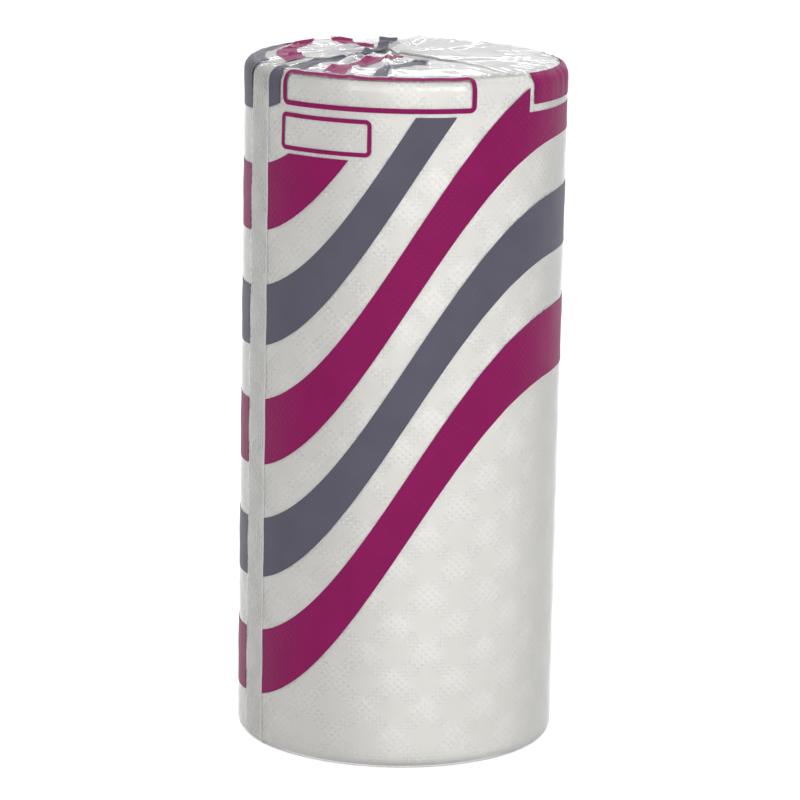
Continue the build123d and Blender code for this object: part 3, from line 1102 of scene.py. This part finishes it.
def film_material(name, milk, wall):
    """Blown polyethylene film with that share of milk, tight on the wall or folded on an end."""
    material, tree = new_material(name)
    place = add_node(tree, "ShaderNodeTexCoord").outputs["Object"]
    flat = add_node(tree, "ShaderNodeUVMap", {"uv_map": "flat_sheet"}).outputs[0]
    # Blown film is never quite even: its ripples are about 6 mm long
    ripple = add_node(tree, "ShaderNodeTexNoise", Vector=place, Scale=160.0, Detail=3.0)
    bump = add_node(tree, "ShaderNodeBump", Strength=0.2, Distance=0.2 * MM, Height=ripple.outputs["Fac"])
    if wall:
        dots, _ = emboss(tree)
        bump = add_node(
            tree, "ShaderNodeBump", Strength=0.7, Distance=0.26 * MM, Height=dots, Normal=bump.outputs[0]
        )
        # Film that is pulled in at the top is smoother than on the embossed paper, so it is glossier
        up = add_node(tree, "ShaderNodeSeparateXYZ", Vector=flat).outputs["Y"]
        gloss = add_node(
            tree, "ShaderNodeMapRange",
            Value=up, From_Min=205 * MM, From_Max=224 * MM, To_Min=0.16, To_Max=0.12,
        ).outputs[0]
        shown = 1.0
    else:
        gloss = 0.1
        radius = add_node(tree, "ShaderNodeVectorMath", {"operation": "LENGTH"}, _0=flat).outputs["Value"]
        shown = add_node(
            tree, "ShaderNodeMapRange", {"interpolation_type": "SMOOTHSTEP"},
            Value=radius, From_Min=FADE_START, From_Max=FADE_END, To_Min=1.0, To_Max=0.0,
        ).outputs[0]
    clear = add_node(tree, "ShaderNodeBsdfTransparent", Color=(1, 1, 1, 1))
    body = add_node(
        tree, "ShaderNodeBsdfPrincipled",
        Base_Color=linear("#f4f4f6"), Roughness=0.5, Specular_IOR_Level=0.0, Normal=bump.outputs[0],
    )
    # Painted highlight: near creases and folded edges the milk is raised, which paints them whiter
    crease = add_node(tree, "ShaderNodeAttribute", {"attribute_name": "crease"}).outputs["Fac"]
    milk_and_crease_highlight = add_node(
        tree, "ShaderNodeMath", {"operation": "MULTIPLY_ADD"}, _0=crease, _1=CREASE_HIGHLIGHT_MILK, _2=milk
    )
    milky = add_node(
        tree, "ShaderNodeMixShader", Fac=milk_and_crease_highlight.outputs[0], _1=clear.outputs[0], _2=body.outputs[0]
    )
    mirror = add_node(
        tree, "ShaderNodeBsdfGlossy", Color=(1, 1, 1, 1), Roughness=gloss, Normal=bump.outputs[0]
    )
    share = add_node(tree, "ShaderNodeFresnel", IOR=FILM_IOR, Normal=bump.outputs[0])
    film = add_node(
        tree, "ShaderNodeMixShader", Fac=share.outputs[0], _1=milky.outputs[0], _2=mirror.outputs[0]
    )
    film = add_node(tree, "ShaderNodeMixShader", Fac=shown, _1=clear.outputs[0], _2=film.outputs[0])
    add_node(tree, "ShaderNodeOutputMaterial", Surface=film.outputs[0])
    return material


# One sheet on the wall, doubled sheets in the flaps, and the closing layer for all that is gathered under it
wall_film = film_material("clear_polyethylene_film", milk=0.08, wall=True)
folded_film = film_material("folded_polyethylene_film", milk=0.16, wall=False)
heaped_film = film_material("heaped_polyethylene_film", milk=0.45, wall=False)
sleeve.data.materials.append(wall_film)
for piece in cap_pieces + base_pieces:
    piece.data.materials.append(heaped_film if piece is cap_pieces[0] else folded_film)
print("films:", wall_film.name, folded_film.name, heaped_film.name)

# %% [markdown]
# ## Core board
#
# The core is board made of waste paper, wound in a spiral from two strips and flecked with fibres of many
# kinds. It is hidden in the roll, and seen only when the part is taken to pieces.

# %% Core board
# Recycled board, wound and glued: matt and grey-brown, with flecks of 1.4 mm, 700 to the metre
board, tree = new_material("grey_core_board")
place = add_node(tree, "ShaderNodeTexCoord").outputs["Object"]
flecks = add_node(tree, "ShaderNodeTexNoise", Vector=place, Scale=700.0, Detail=5.0)
tone = add_node(
    tree, "ShaderNodeMix", {"data_type": "RGBA"},
    Factor=flecks.outputs["Fac"], A=linear("#a08b6c"), B=linear("#b9a585"),
)
bump = add_node(tree, "ShaderNodeBump", Strength=0.3, Distance=0.1 * MM, Height=flecks.outputs["Fac"])
surface = add_node(
    tree, "ShaderNodeBsdfPrincipled",
    Base_Color=tone.outputs["Result"], Roughness=0.85, Normal=bump.outputs[0],
)
add_node(tree, "ShaderNodeOutputMaterial", Surface=surface.outputs[0])
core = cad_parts["core_tube"]
core.data.materials.clear()
core.data.materials.append(board)
print("core:", board.name)

# %% [markdown]
# ## What each piece stands for
#
# Every new piece rides on the one body of the imported model and replaces the CAD solid that it is a
# better likeness of. All layers of film stand for the one film wrap.
# The core is hidden in the roll, so its CAD solid is good enough and stays.

# %% What each piece stands for
for piece, node, slot in (
    (tissue, "paper_roll", "tissue_paper"),
    (sleeve, "film_wrap", "clear_film"),
    (magenta_ink, "magenta_print", "magenta_ink"),
    (grey_ink, "grey_print", "grey_ink"),
    *[(piece, "film_wrap", "clear_film") for piece in cap_pieces + base_pieces],
):
    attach(piece, "root")
    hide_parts(node)
